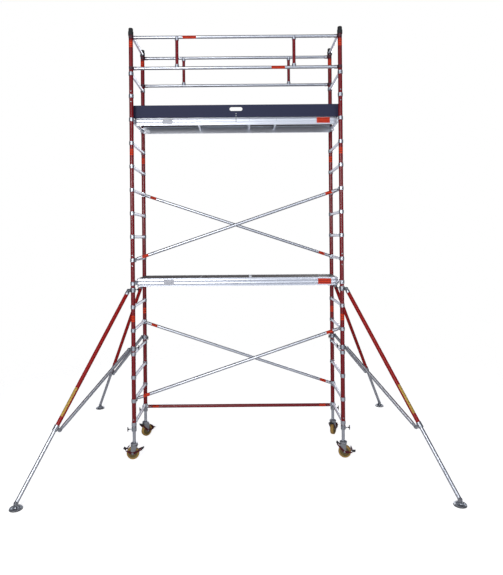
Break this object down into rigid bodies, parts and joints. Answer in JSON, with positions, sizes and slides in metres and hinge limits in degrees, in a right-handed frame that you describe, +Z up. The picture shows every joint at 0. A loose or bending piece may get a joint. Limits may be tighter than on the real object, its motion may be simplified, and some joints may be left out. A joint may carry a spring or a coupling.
{
  "type": "mobile scaffold tower",
  "caption": "Narrow mobile scaffold tower with red fibreglass uprights, aluminium rungs, trapdoor platforms, guardrails, diagonal braces, telescopic outriggers and braked castors.",
  "frame": {"origin": "on the floor, under the middle of the tower", "axes": "+X along the bay from the left end frame to the right one, -Y towards the front, +Z up"},
  "size_m": [4.4676, 3.0282, 5.149],
  "materials": {
    "red_fibreglass": "smooth pultruded tube",
    "aluminium_tube": "mill finish",
    "aluminium_extrusion": "mill finish, fine draw lines",
    "cast_aluminium": "cast and tumbled",
    "dark_cast": "dark coated casting",
    "zinc_steel": "zinc plated",
    "black_plastic": "moulded",
    "brake_red": "dark red and black coating",
    "deck_plywood": "phenolic faced, non-slip",
    "navy_board": "painted, satin",
    "wheel_polyurethane": "moulded polyurethane",
    "foot_rubber": "matt"
  },
  "bodies": {
    "tower": {"frame_uprights": "red_fibreglass", "frame_rungs": "aluminium_tube", "joint_spigots": "aluminium_tube", "frame_rivets": "zinc_steel", "upright_end_caps": "black_plastic", "leg_lock_collars": "cast_aluminium", "diagonal_braces": "aluminium_tube", "horizontal_brace": "red_fibreglass", "brace_hooks": "cast_aluminium", "guardrail_rails": "aluminium_tube", "guardrail_posts": "red_fibreglass", "guardrail_clips": "dark_cast", "platform_frames": "aluminium_extrusion", "platform_decks": "deck_plywood", "platform_hooks": "cast_aluminium", "hatch_frames": "aluminium_extrusion", "toe_boards": "navy_board", "toe_board_brackets": "zinc_steel"},
    "castor_leg_fl": {"castor_leg_fl": "aluminium_tube"},
    "castor_fork_fl": {"castor_fork_fl": "zinc_steel"},
    "castor_wheel_fl": {"castor_wheel_fl": "wheel_polyurethane"},
    "brake_pedal_fl": {"brake_pedal_fl": "brake_red"},
    "outrigger_clamp_fl": {"outrigger_clamp_fl": "cast_aluminium"},
    "outrigger_tube_fl": {"outrigger_tube_fl": "red_fibreglass"},
    "outrigger_leg_fl": {"outrigger_leg_fl": "aluminium_tube"},
    "outrigger_foot_fl": {"outrigger_foot_fl": "foot_rubber"},
    "outrigger_lower_clamp_fl": {"outrigger_lower_clamp_fl": "cast_aluminium"},
    "outrigger_strut_fl": {"outrigger_strut_fl": "aluminium_tube"},
    "castor_leg_fr": {"castor_leg_fr": "aluminium_tube"},
    "castor_fork_fr": {"castor_fork_fr": "zinc_steel"},
    "castor_wheel_fr": {"castor_wheel_fr": "wheel_polyurethane"},
    "brake_pedal_fr": {"brake_pedal_fr": "brake_red"},
    "outrigger_clamp_fr": {"outrigger_clamp_fr": "cast_aluminium"},
    "outrigger_tube_fr": {"outrigger_tube_fr": "red_fibreglass"},
    "outrigger_leg_fr": {"outrigger_leg_fr": "aluminium_tube"},
    "outrigger_foot_fr": {"outrigger_foot_fr": "foot_rubber"},
    "outrigger_lower_clamp_fr": {"outrigger_lower_clamp_fr": "cast_aluminium"},
    "outrigger_strut_fr": {"outrigger_strut_fr": "aluminium_tube"},
    "castor_leg_rl": {"castor_leg_rl": "aluminium_tube"},
    "castor_fork_rl": {"castor_fork_rl": "zinc_steel"},
    "castor_wheel_rl": {"castor_wheel_rl": "wheel_polyurethane"},
    "brake_pedal_rl": {"brake_pedal_rl": "brake_red"},
    "outrigger_clamp_rl": {"outrigger_clamp_rl": "cast_aluminium"},
    "outrigger_tube_rl": {"outrigger_tube_rl": "red_fibreglass"},
    "outrigger_leg_rl": {"outrigger_leg_rl": "aluminium_tube"},
    "outrigger_foot_rl": {"outrigger_foot_rl": "foot_rubber"},
    "outrigger_lower_clamp_rl": {"outrigger_lower_clamp_rl": "cast_aluminium"},
    "outrigger_strut_rl": {"outrigger_strut_rl": "aluminium_tube"},
    "castor_leg_rr": {"castor_leg_rr": "aluminium_tube"},
    "castor_fork_rr": {"castor_fork_rr": "zinc_steel"},
    "castor_wheel_rr": {"castor_wheel_rr": "wheel_polyurethane"},
    "brake_pedal_rr": {"brake_pedal_rr": "brake_red"},
    "outrigger_clamp_rr": {"outrigger_clamp_rr": "cast_aluminium"},
    "outrigger_tube_rr": {"outrigger_tube_rr": "red_fibreglass"},
    "outrigger_leg_rr": {"outrigger_leg_rr": "aluminium_tube"},
    "outrigger_foot_rr": {"outrigger_foot_rr": "foot_rubber"},
    "outrigger_lower_clamp_rr": {"outrigger_lower_clamp_rr": "cast_aluminium"},
    "outrigger_strut_rr": {"outrigger_strut_rr": "aluminium_tube"},
    "hatch_lower": {"hatch_lower": "deck_plywood"},
    "hatch_upper": {"hatch_upper": "deck_plywood"}
  },
  "joints": [
    {"name": "leg_height_fl", "type": "slide", "parent": "tower", "child": "castor_leg_fl", "axis": [0, 0, 1], "range_m": [-0.25, 0.105]},
    {"name": "castor_swivel_fl", "type": "hinge", "parent": "castor_leg_fl", "child": "castor_fork_fl", "pos_m": [-1.25, -0.35, 0.166], "axis": [0, 0, 1], "continuous": true},
    {"name": "wheel_spin_fl", "type": "hinge", "parent": "castor_fork_fl", "child": "castor_wheel_fl", "pos_m": [-1.266, -0.35, 0.075], "axis": [0, 1, 0], "continuous": true},
    {"name": "brake_fl", "type": "hinge", "parent": "castor_fork_fl", "child": "brake_pedal_fl", "pos_m": [-1.266, -0.35, 0.075], "axis": [0, -1, 0], "range_deg": [0, 22]},
    {"name": "outrigger_swing_fl", "type": "hinge", "parent": "tower", "child": "outrigger_clamp_fl", "pos_m": [-1.25, -0.35, 2.02], "axis": [0, 0, 1], "range_deg": [-40, 35]},
    {"name": "outrigger_fold_fl", "type": "hinge", "parent": "outrigger_clamp_fl", "child": "outrigger_tube_fl", "pos_m": [-1.29105, -0.3991, 2.02], "axis": [0.7672, -0.6414, 0], "range_deg": [0, 12]},
    {"name": "outrigger_extend_fl", "type": "slide", "parent": "outrigger_tube_fl", "child": "outrigger_leg_fl", "axis": [0.3669, 0.4388, 0.8203], "range_m": [-0.15, 0.65]},
    {"name": "foot_tilt_fl", "type": "hinge", "parent": "outrigger_leg_fl", "child": "outrigger_foot_fl", "pos_m": [-2.16984, -1.45012, 0.055], "axis": [0.7672, -0.6414, 0], "range_deg": [-25, 25]},
    {"name": "lower_clamp_slide_fl", "type": "slide", "parent": "outrigger_clamp_fl", "child": "outrigger_lower_clamp_fl", "axis": [0, 0, 1], "range_m": [0, 0.13]},
    {"name": "strut_hinge_fl", "type": "hinge", "parent": "outrigger_lower_clamp_fl", "child": "outrigger_strut_fl", "pos_m": [-1.29105, -0.3991, 1.32], "axis": [0.7672, -0.6414, 0], "range_deg": [0, 21.5]},
    {"name": "leg_height_fr", "type": "slide", "parent": "tower", "child": "castor_leg_fr", "axis": [0, 0, 1], "range_m": [-0.25, 0.105]},
    {"name": "castor_swivel_fr", "type": "hinge", "parent": "castor_leg_fr", "child": "castor_fork_fr", "pos_m": [1.25, -0.35, 0.166], "axis": [0, 0, 1], "continuous": true},
    {"name": "wheel_spin_fr", "type": "hinge", "parent": "castor_fork_fr", "child": "castor_wheel_fr", "pos_m": [1.26545, -0.35414, 0.075], "axis": [-0.2588, -0.9659, 0], "continuous": true},
    {"name": "brake_fr", "type": "hinge", "parent": "castor_fork_fr", "child": "brake_pedal_fr", "pos_m": [1.26545, -0.35414, 0.075], "axis": [0.2588, 0.9659, 0], "range_deg": [-22, 0]},
    {"name": "outrigger_swing_fr", "type": "hinge", "parent": "tower", "child": "outrigger_clamp_fr", "pos_m": [1.25, -0.35, 2.02], "axis": [0, 0, 1], "range_deg": [-35, 40]},
    {"name": "outrigger_fold_fr", "type": "hinge", "parent": "outrigger_clamp_fr", "child": "outrigger_tube_fr", "pos_m": [1.29105, -0.3991, 2.02], "axis": [0.7672, 0.6414, 0], "range_deg": [0, 12]},
    {"name": "outrigger_extend_fr", "type": "slide", "parent": "outrigger_tube_fr", "child": "outrigger_leg_fr", "axis": [-0.3669, 0.4388, 0.8203], "range_m": [-0.15, 0.65]},
    {"name": "foot_tilt_fr", "type": "hinge", "parent": "outrigger_leg_fr", "child": "outrigger_foot_fr", "pos_m": [2.16984, -1.45012, 0.055], "axis": [0.7672, 0.6414, 0], "range_deg": [-25, 25]},
    {"name": "lower_clamp_slide_fr", "type": "slide", "parent": "outrigger_clamp_fr", "child": "outrigger_lower_clamp_fr", "axis": [0, 0, 1], "range_m": [0, 0.13]},
    {"name": "strut_hinge_fr", "type": "hinge", "parent": "outrigger_lower_clamp_fr", "child": "outrigger_strut_fr", "pos_m": [1.29105, -0.3991, 1.32], "axis": [0.7672, 0.6414, 0], "range_deg": [0, 21.5]},
    {"name": "leg_height_rl", "type": "slide", "parent": "tower", "child": "castor_leg_rl", "axis": [0, 0, 1], "range_m": [-0.25, 0.105]},
    {"name": "castor_swivel_rl", "type": "hinge", "parent": "castor_leg_rl", "child": "castor_fork_rl", "pos_m": [-1.25, 0.35, 0.166], "axis": [0, 0, 1], "continuous": true},
    {"name": "wheel_spin_rl", "type": "hinge", "parent": "castor_fork_rl", "child": "castor_wheel_rl", "pos_m": [-1.23929, 0.36189, 0.075], "axis": [0.7431, -0.6691, 0], "continuous": true},
    {"name": "brake_rl", "type": "hinge", "parent": "castor_fork_rl", "child": "brake_pedal_rl", "pos_m": [-1.23929, 0.36189, 0.075], "axis": [-0.7431, 0.6691, 0], "range_deg": [-22, 0]},
    {"name": "outrigger_swing_rl", "type": "hinge", "parent": "tower", "child": "outrigger_clamp_rl", "pos_m": [-1.25, 0.35, 2.02], "axis": [0, 0, 1], "range_deg": [-35, 40]},
    {"name": "outrigger_fold_rl", "type": "hinge", "parent": "outrigger_clamp_rl", "child": "outrigger_tube_rl", "pos_m": [-1.29105, 0.3991, 2.02], "axis": [-0.7672, -0.6414, 0], "range_deg": [0, 12]},
    {"name": "outrigger_extend_rl", "type": "slide", "parent": "outrigger_tube_rl", "child": "outrigger_leg_rl", "axis": [0.3669, -0.4388, 0.8203], "range_m": [-0.15, 0.65]},
    {"name": "foot_tilt_rl", "type": "hinge", "parent": "outrigger_leg_rl", "child": "outrigger_foot_rl", "pos_m": [-2.16984, 1.45012, 0.055], "axis": [-0.7672, -0.6414, 0], "range_deg": [-25, 25]},
    {"name": "lower_clamp_slide_rl", "type": "slide", "parent": "outrigger_clamp_rl", "child": "outrigger_lower_clamp_rl", "axis": [0, 0, 1], "range_m": [0, 0.13]},
    {"name": "strut_hinge_rl", "type": "hinge", "parent": "outrigger_lower_clamp_rl", "child": "outrigger_strut_rl", "pos_m": [-1.29105, 0.3991, 1.32], "axis": [-0.7672, -0.6414, 0], "range_deg": [0, 21.5]},
    {"name": "leg_height_rr", "type": "slide", "parent": "tower", "child": "castor_leg_rr", "axis": [0, 0, 1], "range_m": [-0.25, 0.105]},
    {"name": "castor_swivel_rr", "type": "hinge", "parent": "castor_leg_rr", "child": "castor_fork_rr", "pos_m": [1.25, 0.35, 0.166], "axis": [0, 0, 1], "continuous": true},
    {"name": "wheel_spin_rr", "type": "hinge", "parent": "castor_fork_rr", "child": "castor_wheel_rr", "pos_m": [1.25751, 0.36413, 0.075], "axis": [0.8829, -0.4695, 0], "continuous": true},
    {"name": "brake_rr", "type": "hinge", "parent": "castor_fork_rr", "child": "brake_pedal_rr", "pos_m": [1.25751, 0.36413, 0.075], "axis": [-0.8829, 0.4695, 0], "range_deg": [-22, 0]},
    {"name": "outrigger_swing_rr", "type": "hinge", "parent": "tower", "child": "outrigger_clamp_rr", "pos_m": [1.25, 0.35, 2.02], "axis": [0, 0, 1], "range_deg": [-40, 35]},
    {"name": "outrigger_fold_rr", "type": "hinge", "parent": "outrigger_clamp_rr", "child": "outrigger_tube_rr", "pos_m": [1.29105, 0.3991, 2.02], "axis": [-0.7672, 0.6414, 0], "range_deg": [0, 12]},
    {"name": "outrigger_extend_rr", "type": "slide", "parent": "outrigger_tube_rr", "child": "outrigger_leg_rr", "axis": [-0.3669, -0.4388, 0.8203], "range_m": [-0.15, 0.65]},
    {"name": "foot_tilt_rr", "type": "hinge", "parent": "outrigger_leg_rr", "child": "outrigger_foot_rr", "pos_m": [2.16984, 1.45012, 0.055], "axis": [-0.7672, 0.6414, 0], "range_deg": [-25, 25]},
    {"name": "lower_clamp_slide_rr", "type": "slide", "parent": "outrigger_clamp_rr", "child": "outrigger_lower_clamp_rr", "axis": [0, 0, 1], "range_m": [0, 0.13]},
    {"name": "strut_hinge_rr", "type": "hinge", "parent": "outrigger_lower_clamp_rr", "child": "outrigger_strut_rr", "pos_m": [1.29105, 0.3991, 1.32], "axis": [-0.7672, 0.6414, 0], "range_deg": [0, 21.5]},
    {"name": "trapdoor_lower", "type": "hinge", "parent": "tower", "child": "hatch_lower", "pos_m": [0.14625, 0, 2.1527], "axis": [0, 1, 0], "range_deg": [0, 100]},
    {"name": "trapdoor_upper", "type": "hinge", "parent": "tower", "child": "hatch_upper", "pos_m": [0.14625, 0, 4.1127], "axis": [0, 1, 0], "range_deg": [0, 100]}
  ],
  "couplings": [
    {"joint": "lower_clamp_slide_fl", "follows": "outrigger_fold_fl", "m_per_rad": 0.6125},
    {"joint": "strut_hinge_fl", "follows": "outrigger_fold_fl", "ratio": 1.785},
    {"joint": "lower_clamp_slide_fr", "follows": "outrigger_fold_fr", "m_per_rad": 0.6125},
    {"joint": "strut_hinge_fr", "follows": "outrigger_fold_fr", "ratio": 1.785},
    {"joint": "lower_clamp_slide_rl", "follows": "outrigger_fold_rl", "m_per_rad": 0.6125},
    {"joint": "strut_hinge_rl", "follows": "outrigger_fold_rl", "ratio": 1.785},
    {"joint": "lower_clamp_slide_rr", "follows": "outrigger_fold_rr", "m_per_rad": 0.6125},
    {"joint": "strut_hinge_rr", "follows": "outrigger_fold_rr", "ratio": 1.785}
  ]
}
